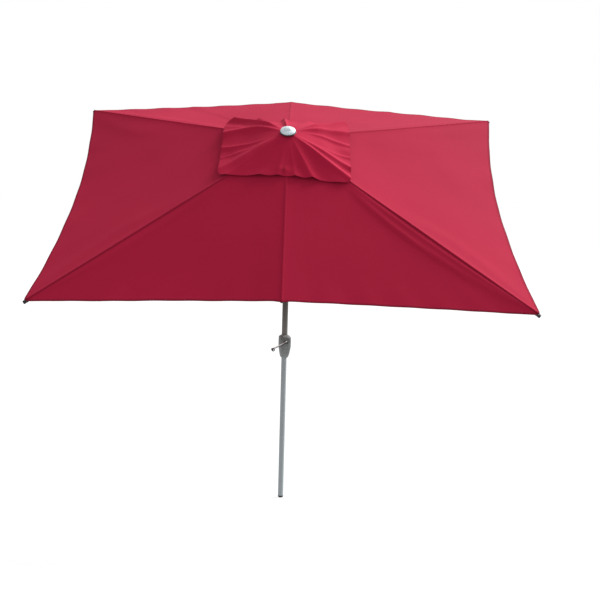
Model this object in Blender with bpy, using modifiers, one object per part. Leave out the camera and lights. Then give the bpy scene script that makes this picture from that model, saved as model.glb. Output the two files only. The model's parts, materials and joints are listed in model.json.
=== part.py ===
"""Rectangular patio umbrella: two-piece aluminium pole with a crank winch, a push-button tilt joint, six
folding ribs with struts, a red canopy with a vent cap, and a mushroom finial. Metres, +Z up, origin at the
centre of the pole's foot. It is modelled open and tilted: the canopy leans towards -Y by TILT_DEG."""

import math

import bmesh
import bpy
from mathutils import Matrix, Vector

# ---- driving dimensions, in metres and degrees ----
TILT_DEG = 38.3            # lean of the canopy towards -Y
TILT_HEIGHT = 1.58         # tilt pivot above the foot
APEX_REACH = 0.94          # tilt pivot to the peak of the canopy cloth, along the upper pole
CANOPY_WIDTH = 2.75        # corner to corner along X
CANOPY_DEPTH = 1.92        # corner to corner along Y
MIDDLE_REACH = 0.993       # pole axis to the tips of the two middle ribs
CORNER_DROP = 0.436        # peak to a corner, along the upper pole
MIDDLE_DROP = 0.352        # peak to a middle rib's tip
SIDE_HEM_CURVE = 0.075     # how far the hem of the two short sides curves in
CLOTH = 0.0012
CLOTH_OVER_RIB = 0.003     # cloth above a rib's top
GAP = 0.0003               # between touching pieces

POLE_RADIUS = 0.019        # upper and middle pole
POLE_BORE = 0.0175
MIDDLE_POLE_BORE = 0.0180
LOWER_POLE_RADIUS = 0.0177
LOWER_POLE_BORE = 0.0160
LOWER_POLE_TOP = 0.985
MIDDLE_POLE_FOOT = 0.955

HOUSING_HEIGHT = 1.027     # centre of the crank housing
HOUSING_YAW_DEG = 16.0     # the housing faces a little to the right of -Y
SHAFT_RISE = 0.026         # crank shaft above the housing's centre
CRANK_REACH = 0.106
CRANK_DROOP_DEG = 24.0     # the handle points left and down

HUB_DROP = 0.040           # peak down to the rib hinges
HINGE_RADIUS = 0.035       # pole axis to the rib hinges, and to the strut pivots on the runner
RUNNER_OPEN = 0.330        # rib hinges down to the strut pivots, open
RUNNER_CLOSED = 0.830      # and closed
CORNER_CLOSED_DEG = 84.0   # a closed corner rib, below square to the pole
MIDDLE_CLOSED_DEG = 82.0
RIB_WIDTH, RIB_HEIGHT, RIB_WALL = 0.016, 0.018, 0.0014
STRUT_WIDTH, STRUT_HEIGHT = 0.010, 0.013
OUTER_TONGUE, INNER_TONGUE = 0.017, 0.058
BRACKET_PIN_DROP = 0.020   # rib centreline down to the strut's pin
TONGUE = 0.006             # thickness of every rib and strut tongue
EAR_GAP = 0.0068           # slot that a tongue turns in
EAR = 0.0038               # thickness of an ear

SEGMENTS = 24              # of a large round piece
CAP_HALF_WIDTH, CAP_HALF_DEPTH = 0.395, 0.275
CAP_CORNER_FALL, CAP_MIDDLE_FALL = 0.142, 0.114
CAP_LIFT = 0.036           # peak of the vent cap above the canopy's
FINIAL_LIFT = 0.0415       # foot of the finial above the canopy's peak

BUTTON_HEIGHT = TILT_HEIGHT - 0.048
PULLEY_HEIGHT = APEX_REACH - 0.060    # along the upper pole, as are the next four
CORD_EXIT = APEX_REACH - 0.105        # slot where the lift cord leaves the upper pole
CORD_FALL_TOP = CORD_EXIT - 0.024
RUNNER_RISE = 0.024        # strut pivots up to the runner's top
RUNNER_FALL = 0.030        # and down to its foot
PULLEY_CORD_RADIUS = 0.0115
CORD_RADIUS = 0.0015
CORD_FALL_RADIUS = 0.0228  # pole axis to the cord that runs down to the runner
CORD_AHEAD = -0.0095       # the cord passes the tilt pin on its -Y side

TILT = math.radians(TILT_DEG)
MAIN = "patio_umbrella"


# ---- scene, collections and materials ----
def collection(name):
    made = bpy.data.collections.new(name)
    bpy.context.scene.collection.children.link(made)
    return made


for old in list(bpy.data.objects):
    bpy.data.objects.remove(old)
PARTS = collection(MAIN)
CUTTERS = collection(MAIN + "_cutters")


def material(name, color, roughness, metallic=0.0):
    made = bpy.data.materials.new(name)
    made.use_nodes = True
    shader = made.node_tree.nodes["Principled BSDF"]
    shader.inputs["Base Color"].default_value = (*color, 1.0)
    shader.inputs["Roughness"].default_value = roughness
    shader.inputs["Metallic"].default_value = metallic
    return made


POLE_ALUMINIUM = material("pole_aluminium", (0.33, 0.34, 0.345), 0.38, 0.85)
RIB_ALUMINIUM = material("rib_aluminium", (0.30, 0.305, 0.31), 0.45, 0.8)
HOUSING_PLASTIC = material("housing_plastic", (0.16, 0.165, 0.165), 0.5)
BLACK_PLASTIC = material("black_plastic", (0.02, 0.02, 0.022), 0.45)
HUB_PLASTIC = material("hub_plastic", (0.05, 0.05, 0.055), 0.5)
CHROME = material("chrome", (0.8, 0.8, 0.82), 0.12, 1.0)
STEEL = material("zinc_steel", (0.55, 0.55, 0.56), 0.35, 1.0)
CAST_METAL = material("cast_knuckle", (0.25, 0.25, 0.26), 0.45, 0.9)
FINIAL_WHITE = material("finial_white", (0.72, 0.76, 0.78), 0.35)
CANOPY_RED = material("canopy_red", (0.36, 0.018, 0.042), 0.85)
CORD_NYLON = material("cord_nylon", (0.6, 0.58, 0.53), 0.8)


# ---- modelling helpers ----
def place(obj, parent, at=(0, 0, 0), turn=(0, 0, 0)):
    """Stands obj in its parent's frame, with its origin at a point and turned by X, Y, Z Euler angles."""
    obj.parent = parent
    obj.location = at
    obj.rotation_euler = turn
    return obj


def empty(name, parent=None, at=(0, 0, 0), turn=(0, 0, 0)):
    made = bpy.data.objects.new(name, None)
    PARTS.objects.link(made)
    return place(made, parent, at, turn)


def as_object(name, mesh, mat=None):
    """A mesh as a part, or as a hidden cutter where it has no material."""
    made = bpy.data.objects.new(name, mesh)
    if mat:
        PARTS.objects.link(made)
        if not mesh.materials:
            mesh.materials.append(mat)
    else:
        CUTTERS.objects.link(made)
        made.hide_render = True
        made.display_type = "WIRE"
    return made


def from_bmesh(name, bm, mat=None):
    bmesh.ops.recalc_face_normals(bm, faces=bm.faces)
    mesh = bpy.data.meshes.new(name)
    bm.to_mesh(mesh)
    bm.free()
    return as_object(name, mesh, mat)


def box(name, low, high, mat=None):
    """A box between two opposite corners."""
    bm = bmesh.new()
    size = Vector(high) - Vector(low)
    middle = (Vector(high) + Vector(low)) / 2
    matrix = Matrix.Translation(middle) @ Matrix.Diagonal((*size, 1))
    bmesh.ops.create_cube(bm, size=1, matrix=matrix)
    return from_bmesh(name, bm, mat)


def rod(name, radius, start, end, mat=None, segments=16):
    """A cylinder between two points."""
    bm = bmesh.new()
    along = Vector(end) - Vector(start)
    turn = along.to_track_quat("Z", "Y").to_matrix().to_4x4()
    matrix = Matrix.Translation((Vector(start) + Vector(end)) / 2) @ turn
    bmesh.ops.create_cone(
        bm,
        cap_ends=True,
        segments=segments,
        radius1=radius,
        radius2=radius,
        depth=along.length,
        matrix=matrix,
    )
    return from_bmesh(name, bm, mat)


def turned(name, profile, mat=None, closed=False, segments=SEGMENTS):
    """A turned shape about Z from (radius, height) points, top to bottom down its outer side."""
    count = len(profile)
    edges = [(i, i + 1) for i in range(count - 1)] + ([(count - 1, 0)] if closed else [])
    mesh = bpy.data.meshes.new(name)
    mesh.from_pydata([(r, 0, z) for r, z in profile], edges, [])
    made = as_object(name, mesh, mat)
    screw = made.modifiers.new("turn", "SCREW")
    screw.steps = screw.render_steps = segments
    screw.use_merge_vertices = True
    screw.merge_threshold = 0.00001
    return made


def pipe(name, outer, inner, bottom, top, mat=None, segments=SEGMENTS):
    """A straight tube about Z, open at both ends."""
    profile = [(outer, top), (outer, bottom), (inner, bottom), (inner, top)]
    return turned(name, profile, mat, closed=True, segments=segments)


def combine(obj, operation, *tools):
    """Cuts the tools from obj, or joins them to it. Both are in the same frame."""
    for tool in tools:
        if tool.parent is None and obj.parent is not None:
            place(tool, obj.parent, tool.location, tool.rotation_euler)
        step = obj.modifiers.new(f"{operation.lower()} {tool.name}", "BOOLEAN")
        step.operation = operation
        step.object = tool
    return obj


def cut(obj, *tools):
    return combine(obj, "DIFFERENCE", *tools)


def join(obj, *tools):
    return combine(obj, "UNION", *tools)


def round_edges(obj, width, segments=1, angle_deg=30):
    bevel = obj.modifiers.new("rounded edges", "BEVEL")
    bevel.width = width
    bevel.segments = segments
    bevel.limit_method = "ANGLE"
    bevel.angle_limit = math.radians(angle_deg)
    return obj


def finished_mesh(obj):
    """The mesh that obj's modifiers make, for pieces that are repeated. obj and its tools are removed."""
    bpy.context.view_layer.update()
    mesh = bpy.data.meshes.new_from_object(obj.evaluated_get(bpy.context.evaluated_depsgraph_get()))
    for tool in [m.object for m in obj.modifiers if m.type == "BOOLEAN"] + [obj]:
        bpy.data.objects.remove(tool)
    return mesh


def wire(name, points, radius, mat, cyclic=False):
    """A round wire or cord along points, as one spline with filled ends."""
    curve = bpy.data.curves.new(name, "CURVE")
    curve.dimensions = "3D"
    curve.bevel_depth = radius
    curve.bevel_resolution = 2
    curve.render_resolution_u = 0
    curve.use_fill_caps = not cyclic
    spline = curve.splines.new("POLY")
    spline.points.add(len(points) - 1)
    for slot, point in zip(spline.points, points):
        slot.co = (*point, 1)
    spline.use_cyclic_u = cyclic
    curve.materials.append(mat)
    made = bpy.data.objects.new(name, curve)
    PARTS.objects.link(made)
    return made


def smooth(obj, angle_deg=35):
    """Round faces are shaded smooth, and edges sharper than the angle stay sharp."""
    obj.data.shade_smooth()
    obj.data.set_sharp_from_angle(angle=math.radians(angle_deg))
    return obj


# ---- frames: the tilting top, and one frame for each rib and strut ----
TOP = empty("frame_top", at=(0, 0, TILT_HEIGHT), turn=(TILT, 0, 0))
HOUSING = empty("frame_housing", at=(0, 0, HOUSING_HEIGHT), turn=(0, 0, math.radians(HOUSING_YAW_DEG)))
CRANK = empty("frame_crank", HOUSING, (0, 0, SHAFT_RISE), (0, -math.radians(CRANK_DROOP_DEG), 0))
HINGE_HEIGHT = APEX_REACH - HUB_DROP

CORNER_AZIMUTH = math.degrees(math.atan2(CANOPY_DEPTH, CANOPY_WIDTH))
RIBS = {
    "back_right": ("corner", CORNER_AZIMUTH),
    "back_middle": ("middle", 90.0),
    "back_left": ("corner", 180.0 - CORNER_AZIMUTH),
    "front_left": ("corner", 180.0 + CORNER_AZIMUTH),
    "front_middle": ("middle", 270.0),
    "front_right": ("corner", 360.0 - CORNER_AZIMUTH),
}


class Linkage:
    """One kind of rib with its strut: angles below square to the pole, and lengths between pins. The
    bracket's place and the strut's length put the runner at RUNNER_OPEN and RUNNER_CLOSED."""

    def __init__(self, reach, drop, closed_deg):
        centre = CLOTH_OVER_RIB + RIB_HEIGHT / 2
        end = 0.012
        run = reach - end - HINGE_RADIUS
        fall = drop + centre - HUB_DROP
        self.length = math.hypot(run, fall)
        self.open = math.atan2(fall, run)
        self.closed = math.radians(closed_deg)
        e, so, sc = BRACKET_PIN_DROP, RUNNER_OPEN, RUNNER_CLOSED
        levers = e * (sc * math.cos(self.closed) - so * math.cos(self.open))
        heights = sc * math.sin(self.closed) - so * math.sin(self.open)
        self.bracket = ((sc * sc - so * so) / 2 - levers) / heights
        self.strut = math.hypot(*self.pin_to_runner(self.open, so))
        self.strut_open = math.atan2(*reversed(self.pin_to_runner(self.open, so)))
        self.strut_closed = math.atan2(*reversed(self.pin_to_runner(self.closed, sc)))

    def pin_to_runner(self, angle, runner):
        """(inward, downward) distances from the bracket's pin to the runner's pivot."""
        a, e = self.bracket, BRACKET_PIN_DROP
        inward = a * math.cos(angle) - e * math.sin(angle)
        downward = runner - a * math.sin(angle) - e * math.cos(angle)
        return inward, downward


LINKAGES = {
    "corner": Linkage(math.hypot(CANOPY_WIDTH, CANOPY_DEPTH) / 2, CORNER_DROP, CORNER_CLOSED_DEG),
    "middle": Linkage(MIDDLE_REACH, MIDDLE_DROP, MIDDLE_CLOSED_DEG),
}


def rib_frame(name):
    """+X along the rib, +Y along its hinge, origin on the hinge."""
    kind, azimuth = RIBS[name]
    around = empty(f"azimuth_{name}", TOP, (0, 0, HINGE_HEIGHT), (0, 0, math.radians(azimuth)))
    return empty(f"frame_rib_{name}", around, (HINGE_RADIUS, 0, 0), (0, LINKAGES[kind].open, 0))


def strut_frame(name, rib):
    """+X from the bracket's pin to the runner, +Y along the pin."""
    link = LINKAGES[RIBS[name][0]]
    turn = math.pi - link.strut_open - link.open
    return empty(f"frame_strut_{name}", rib, (link.bracket, 0, -BRACKET_PIN_DROP), (0, turn, 0))


# ---- pole ----
def build_pole():
    foot = [(0, 0.050), (0.0145, 0.050), (0.0155, 0.047), (0.0155, 0.0122), (0.0177, 0.0117)]
    foot += [(0.0172, 0.004), (0.0145, 0.0), (0, 0.0)]
    smooth(turned("foot_plug", foot, BLACK_PLASTIC))
    lower_foot = 0.012 + GAP
    lower = pipe("lower_pole", LOWER_POLE_RADIUS, LOWER_POLE_BORE, lower_foot, LOWER_POLE_TOP, POLE_ALUMINIUM)
    smooth(lower)
    foot, top = MIDDLE_POLE_FOOT, TILT_HEIGHT - 0.024
    middle = pipe("middle_pole", POLE_RADIUS, MIDDLE_POLE_BORE, foot, top, POLE_ALUMINIUM)
    axle = rod("cut_shaft_holes", 0.0045, (0, -0.03, SHAFT_RISE), (0, 0.03, SHAFT_RISE))
    place(axle, HOUSING)
    button_hole = rod("cut_button_hole", 0.0062, (0, 0.010, BUTTON_HEIGHT), (0, 0.030, BUTTON_HEIGHT))
    cut(middle, axle, button_hole)
    smooth(middle)
    upper = pipe("upper_pole", POLE_RADIUS, POLE_BORE, 0.0243, APEX_REACH - 0.030, POLE_ALUMINIUM)
    place(upper, TOP)
    axle_hole = rod("cut_pulley_axle", 0.0023, (0, -0.03, PULLEY_HEIGHT), (0, 0.03, PULLEY_HEIGHT))
    slot_low, slot_high = CORD_EXIT - 0.018, CORD_EXIT + 0.018
    exit_slot = box("cut_cord_exit", (0.010, -0.0028, slot_low), (0.030, 0.0028, slot_high))
    cut(upper, axle_hole, exit_slot)
    smooth(upper)


# ---- tilt joint, with its pin along X through the pivot ----
def build_tilt_joint():
    cheek_radius, cheek_side, slot = 0.0165, 0.0172, 0.0070
    z = TILT_HEIGHT
    fork = rod("tilt_fork", 0.0177, (0, 0, z - 0.078), (0, 0, z - 0.0242), CAST_METAL, SEGMENTS)
    collar = rod("join_fork_collar", POLE_RADIUS, (0, 0, z - 0.0237), (0, 0, z - 0.016), None, SEGMENTS)
    neck = rod("join_fork_neck", 0.0170, (0, 0, z - 0.026), (0, 0, z - 0.022), None, SEGMENTS)
    head = rod("join_fork_head", cheek_radius, (-cheek_side, 0, z), (cheek_side, 0, z), None, SEGMENTS)
    sides = box("join_fork_sides", (-cheek_side, -0.0160, z - 0.020), (cheek_side, 0.0160, z))
    join(fork, neck, collar, sides, head)
    slit = box("cut_fork_slot", (-slot, -0.03, z - 0.0160), (slot, 0.03, z + 0.03))
    pin_hole = rod("cut_fork_pin", 0.0042, (-0.03, 0, z), (0.03, 0, z))
    cord_hole = rod("cut_fork_cord", 0.0028, (0, CORD_AHEAD, z - 0.09), (0, CORD_AHEAD, z - 0.010))
    bore = rod("cut_button_bore", 0.0062, (0, 0.0005, BUTTON_HEIGHT), (0, 0.03, BUTTON_HEIGHT))
    cut(fork, slit, pin_hole, cord_hole, bore)
    smooth(fork)

    tongue_side = 0.0066
    tongue = rod("tilt_tongue", 0.0172, (0, 0, 0.0250), (0, 0, 0.0780), CAST_METAL, SEGMENTS)
    place(tongue, TOP)
    collar = rod("join_tongue_collar", POLE_RADIUS, (0, 0, 0.0190), (0, 0, 0.0240), None, SEGMENTS)
    neck = rod("join_tongue_neck", 0.0165, (0, 0, 0.0230), (0, 0, 0.0260), None, SEGMENTS)
    blade = box("join_blade", (-tongue_side, -0.0125, 0), (tongue_side, 0.0125, 0.0195))
    end = rod("join_blade_end", 0.0140, (-tongue_side, 0, 0), (tongue_side, 0, 0), None, SEGMENTS)
    join(tongue, neck, collar, blade, end)
    pin_hole = rod("cut_tongue_pin", 0.0042, (-0.03, 0, 0), (0.03, 0, 0))
    cord_hole = rod("cut_tongue_cord", 0.0028, (0, CORD_AHEAD, 0.012), (0, CORD_AHEAD, 0.09))
    cord_mouth = box("cut_tongue_mouth", (-0.0028, -0.020, -0.015), (0.0028, CORD_AHEAD + 0.0027, 0.0150))
    cut(tongue, pin_hole, cord_hole, cord_mouth)
    smooth(tongue)

    pin = rod("tilt_pin", 0.0040, (-0.0185, 0, z), (0.0185, 0, z), STEEL)
    heads = [
        rod(f"join_pin_head_{side}", 0.0062, (s * 0.0175, 0, z), (s * 0.0192, 0, z))
        for side, s in (("left", -1), ("right", 1))
    ]
    smooth(join(pin, *heads))

    profile = [(0, 0), (0.0040, 0.0), (0.0052, -0.0010), (0.0057, -0.0026), (0.0057, -0.0160), (0, -0.0160)]
    button = turned("tilt_button", profile, BLACK_PLASTIC, segments=16)
    place(button, None, (0, 0.0222, BUTTON_HEIGHT), (-math.pi / 2, 0, 0))
    smooth(button)
    turns, per_turn, start, end = 3, 8, 0.0022, 0.0052
    count = turns * per_turn + 1
    coil = []
    for i in range(count):
        around = 2 * math.pi * i / per_turn
        along = start + (end - start) * i / (count - 1)
        coil.append((0.0040 * math.cos(around), along, BUTTON_HEIGHT + 0.0040 * math.sin(around)))
    wire("button_spring", coil, 0.0003, STEEL)


# ---- crank winch ----
def loft(name, rings):
    """A closed solid through rings of points, the first ring at the top."""
    bm = bmesh.new()
    loops = [[bm.verts.new(point) for point in ring] for ring in rings]
    for above, below in zip(loops, loops[1:]):
        for i in range(len(above)):
            j = (i + 1) % len(above)
            bm.faces.new((above[i], above[j], below[j], below[i]))
    bm.faces.new(loops[0])
    bm.faces.new(list(reversed(loops[-1])))
    return from_bmesh(name, bm)


def housing_ring(height, half_width, front, rear, shrink=0.0, count=20):
    """One level of the crank housing: a rounded rectangle, wider at the front than at the rear."""
    points = []
    for i in range(count):
        angle = 2 * math.pi * (i + 0.5) / count
        c, s = math.cos(angle), math.sin(angle)
        power = 2 / 3.4
        x = math.copysign(abs(c) ** power, c) * (half_width - shrink)
        y = math.copysign(abs(s) ** power, s)
        y *= (rear - shrink) if y > 0 else (front - shrink)
        points.append((x, y, height))
    return points


HOUSING_LEVELS = [
    (0.068, 0.0225, 0.0235, 0.0225),
    (0.062, 0.0330, 0.0400, 0.0255),
    (0.055, 0.0375, 0.0475, 0.0275),
    (0.044, 0.0385, 0.0500, 0.0285),
    (-0.008, 0.0385, 0.0495, 0.0285),
    (-0.045, 0.0325, 0.0410, 0.0265),
    (-0.066, 0.0285, 0.0330, 0.0245),
    (-0.076, 0.0245, 0.0265, 0.0225),
    (-0.082, 0.0205, 0.0210, 0.0205),
]
SCREWS = {"upper": (-0.0265, 0.030), "lower": (0.0265, -0.024)}


def build_housing():
    wall = 0.0026
    for half, sign in (("front", -1), ("rear", 1)):
        shell = loft(f"housing_{half}_form", [housing_ring(*level) for level in HOUSING_LEVELS])
        inner_levels = [level for level in HOUSING_LEVELS if -0.07 < level[0] < 0.06]
        top, bottom = inner_levels[0], inner_levels[-1]
        inner_levels[0] = (top[0] + 0.002, *top[1:])
        inner_levels[-1] = (bottom[0] + 0.001, *bottom[1:])
        hollow = loft(f"cut_hollow_{half}", [housing_ring(*level, shrink=wall) for level in inner_levels])
        bosses = [
            rod(f"boss_{half}_{key}", 0.0047, (x, -0.06, z), (x, 0.04, z), None, 10)
            for key, (x, z) in SCREWS.items()
        ]
        cut(hollow, *bosses)
        bore = rod(f"cut_bore_{half}", POLE_RADIUS + GAP, (0, 0, -0.0722), (0, 0, 0.09), None, SEGMENTS)
        low, high = (0, 0, -0.09), (0, 0, -0.07)
        low_bore = rod(f"cut_low_bore_{half}", LOWER_POLE_RADIUS + GAP, low, high, None, SEGMENTS)
        near, far = sorted((-sign * 0.1, sign * GAP / 2))
        halving = box(f"cut_halving_{half}", (-0.1, near, -0.12), (0.1, far, 0.12))
        tools = [hollow, bore, low_bore, halving]
        if half == "front":
            tools.append(rod("cut_shaft_front", 0.0068, (0, -0.08, SHAFT_RISE), (0, -0.02, SHAFT_RISE)))
        for key, (x, z) in SCREWS.items():
            reach = -0.034 if half == "front" else 0.06
            ends = (x, -0.02 * sign, z), (x, reach, z)
            tools.append(rod(f"cut_screw_{half}_{key}", 0.0021, *ends, None, 8))
            if half == "rear":
                tools.append(rod(f"cut_head_{key}", 0.0040, (x, 0.0185, z), (x, 0.06, z), None, 12))
        for tool in [*bosses, *tools]:
            place(tool, HOUSING, tool.location, tool.rotation_euler)
        place(shell, HOUSING)
        cut(shell, *tools)
        mesh = finished_mesh(shell)
        made = place(as_object(f"crank_housing_{half}", mesh, HOUSING_PLASTIC), HOUSING)
        smooth(made, 40)
    for key, (x, z) in SCREWS.items():
        screw = rod(f"housing_screw_{key}", 0.0017, (x, -0.030, z), (x, 0.0195, z), STEEL, 8)
        head = rod(f"join_screw_head_{key}", 0.0035, (x, 0.0190, z), (x, 0.0212, z), None, 12)
        slot = box(f"cut_screw_slot_{key}", (x - 0.0005, 0.0203, z - 0.005), (x + 0.0005, 0.03, z + 0.005))
        place(screw, HOUSING)
        cut(join(screw, head), slot)
        smooth(screw)


def build_crank():
    shaft = rod("crank_shaft", 0.0040, (0, 0.0160, 0), (0, -0.0640, 0), STEEL)
    collar = rod("join_shaft_collar", 0.0062, (0, -0.0420, 0), (0, -0.0545, 0))
    place(shaft, CRANK)
    smooth(join(shaft, collar))
    half, core, flange, bore = 0.0080, 0.0098, 0.0148, 0.00415
    rim = half - 0.0016
    spool = [(flange, half), (flange, rim), (core, rim - 0.0006), (core, -rim + 0.0006)]
    spool += [(flange, -rim), (flange, -half), (bore, -half), (bore, half)]
    drum = turned("cord_drum", spool, BLACK_PLASTIC, closed=True, segments=18)
    place(drum, CRANK, (0, 0, 0), (math.pi / 2, 0, 0))
    smooth(drum)

    face, back = -0.0625, -0.0565
    arm = rod("crank_arm", 0.0095, (0, back, 0), (0, face, 0), CHROME, 20)
    place(arm, CRANK)
    bar = box("join_arm_bar", (-CRANK_REACH, face + 0.0004, -0.0055), (0, back - 0.0004, 0.0055))
    round_edges(bar, 0.0016)
    eye = rod("join_arm_eye", 0.0080, (-CRANK_REACH, back - 0.0002, 0), (-CRANK_REACH, face + 0.0002, 0))
    bore_cut = rod("cut_arm_bore", 0.00415, (0, back + 0.01, 0), (0, face - 0.01, 0))
    ends = (-CRANK_REACH, back + 0.01, 0), (-CRANK_REACH, face - 0.01, 0)
    pin_cut = rod("cut_arm_pin", 0.0027, *ends, None, 12)
    join(arm, bar, eye)
    cut(arm, bore_cut, pin_cut)
    smooth(arm)

    pin = rod("knob_pin", 0.0025, (-CRANK_REACH, back + 0.0015, 0), (-CRANK_REACH, -0.0990, 0), STEEL, 12)
    ends = (-CRANK_REACH, back + 0.0003, 0), (-CRANK_REACH, back + 0.0020, 0)
    rivet = rod("join_knob_rivet", 0.0045, *ends, None, 12)
    cap = rod("join_knob_cap", 0.0045, (-CRANK_REACH, -0.0983, 0), (-CRANK_REACH, -0.1000, 0), None, 12)
    place(pin, CRANK)
    smooth(join(pin, rivet, cap))
    grip = [(0.0027, 0.0340), (0.0075, 0.0340), (0.0100, 0.0310), (0.0112, 0.0240), (0.0108, 0.0150)]
    grip += [(0.0092, 0.0060), (0.0078, 0.0008), (0.0068, 0.0), (0.0027, 0.0)]
    knob = turned("crank_knob", grip, BLACK_PLASTIC, closed=True, segments=18)
    place(knob, CRANK, (-CRANK_REACH, face - 0.0012, 0), (math.pi / 2, 0, 0))
    smooth(knob)


def build_cords():
    """The lift cord: from the drum up inside the pole, over the pulley, out below the hub and down to the
    runner."""
    yaw = math.radians(HOUSING_YAW_DEG)
    drum_side = 0.0114
    drum_height = HOUSING_HEIGHT + SHAFT_RISE + 0.002
    start = Vector((drum_side * math.cos(yaw), drum_side * math.sin(yaw), drum_height))
    below_joint = Vector((0, CORD_AHEAD, TILT_HEIGHT - 0.080))
    above_plug = Vector((0, CORD_AHEAD, TILT_HEIGHT - 0.018))
    wire("lift_cord_lower", [start, below_joint, above_plug], CORD_RADIUS, CORD_NYLON)
    r = PULLEY_CORD_RADIUS
    route = [(0, CORD_AHEAD, 0.017), (0, CORD_AHEAD, 0.085), (-r, 0, 0.16), (-r, 0, PULLEY_HEIGHT)]
    steps = 8
    for i in range(1, steps + 1):
        around = math.pi * i / steps
        route.append((-r * math.cos(around), 0, PULLEY_HEIGHT + r * math.sin(around)))
    route += [(r, 0, PULLEY_HEIGHT - 0.022), (r + 0.002, 0, CORD_EXIT + 0.012)]
    route += [(CORD_FALL_RADIUS - 0.002, 0, CORD_EXIT - 0.014), (CORD_FALL_RADIUS, 0, CORD_FALL_TOP)]
    place(wire("lift_cord_upper", route, CORD_RADIUS, CORD_NYLON), TOP)
    runner_top = HINGE_HEIGHT - RUNNER_OPEN + RUNNER_RISE
    fall = [(CORD_FALL_RADIUS, 0, CORD_FALL_TOP - GAP), (CORD_FALL_RADIUS, 0, runner_top + GAP)]
    place(wire("lift_cord_fall", fall, CORD_RADIUS, CORD_NYLON), TOP)

    groove, rim, half = PULLEY_CORD_RADIUS - CORD_RADIUS, 0.0128, 0.0035
    wheel = [(rim, half), (rim, half - 0.0008), (groove - GAP, 0.0012), (groove - GAP, -0.0012)]
    wheel += [(rim, -half + 0.0008), (rim, -half), (0.0021, -half), (0.0021, half)]
    pulley = turned("cord_pulley", wheel, BLACK_PLASTIC, closed=True, segments=18)
    place(pulley, TOP, (0, 0, PULLEY_HEIGHT), (math.pi / 2, 0, 0))
    smooth(pulley)
    axle = rod("pulley_axle", 0.0020, (0, -0.0186, PULLEY_HEIGHT), (0, 0.0186, PULLEY_HEIGHT), STEEL, 10)
    smooth(place(axle, TOP))


# ---- hub, runner and finial ----
def plate(name, outline, thickness):
    """A flat plate from an outline in X and Z, half its thickness either side of Y = 0."""
    curve = bpy.data.curves.new(name, "CURVE")
    curve.dimensions = "2D"
    curve.fill_mode = "BOTH"
    curve.extrude = thickness / 2
    curve.resolution_u = 1
    curve.render_resolution_u = 0
    spline = curve.splines.new("POLY")
    spline.points.add(len(outline) - 1)
    for slot, (x, z) in zip(spline.points, outline):
        slot.co = (x, z, 0, 1)
    spline.use_cyclic_u = True
    flat = bpy.data.objects.new(name, curve)
    CUTTERS.objects.link(flat)
    bpy.context.view_layer.update()
    mesh = bpy.data.meshes.new_from_object(flat.evaluated_get(bpy.context.evaluated_depsgraph_get()))
    bpy.data.objects.remove(flat)
    bm = bmesh.new()
    bm.from_mesh(mesh)
    bmesh.ops.remove_doubles(bm, verts=bm.verts, dist=0.000001)
    bmesh.ops.transform(bm, matrix=Matrix.Rotation(math.pi / 2, 4, "X"), verts=bm.verts)
    bmesh.ops.recalc_face_normals(bm, faces=bm.faces)
    bm.to_mesh(mesh)
    bm.free()
    return mesh


def around_ribs(name, mesh, offsets):
    """Copies of a mesh at every rib's azimuth, moved sideways by each offset, as one object."""
    bm = bmesh.new()
    for _, azimuth in RIBS.values():
        for offset in offsets:
            start = len(bm.verts)
            bm.from_mesh(mesh)
            bm.verts.ensure_lookup_table()
            matrix = Matrix.Rotation(math.radians(azimuth), 4, "Z") @ Matrix.Translation((0, offset, 0))
            bmesh.ops.transform(bm, matrix=matrix, verts=bm.verts[start:])
    return from_bmesh(name, bm)


def eared_ring(name, profile, ear_low, ear_high, wall, boss_radius=0.0):
    """A turned collar with six pairs of ears about the pivots at its own height 0, a pair for each rib."""
    ring = turned(name, profile, None, closed=True)
    root, nose, steps = wall - 0.0028, 0.0075, 5
    outline = [(root, ear_high), (root, ear_low)]
    for i in range(steps + 1):
        around = -math.pi / 2 + math.pi * i / steps
        outline.append((HINGE_RADIUS + nose * math.cos(around), nose * math.sin(around)))
    side = (EAR_GAP + EAR) / 2
    join(ring, around_ribs(f"{name}_ears", plate(f"{name}_ear", outline, EAR), (-side, side)))
    if boss_radius:
        ends = (HINGE_RADIUS, -0.0016, 0), (HINGE_RADIUS, 0.0016, 0)
        stub = rod(f"{name}_stub", boss_radius, *ends, None, 8)
        out = EAR_GAP / 2 + EAR
        join(ring, around_ribs(f"{name}_bosses", stub.data, (-out, out)))
        bpy.data.objects.remove(stub)
    return ring


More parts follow.
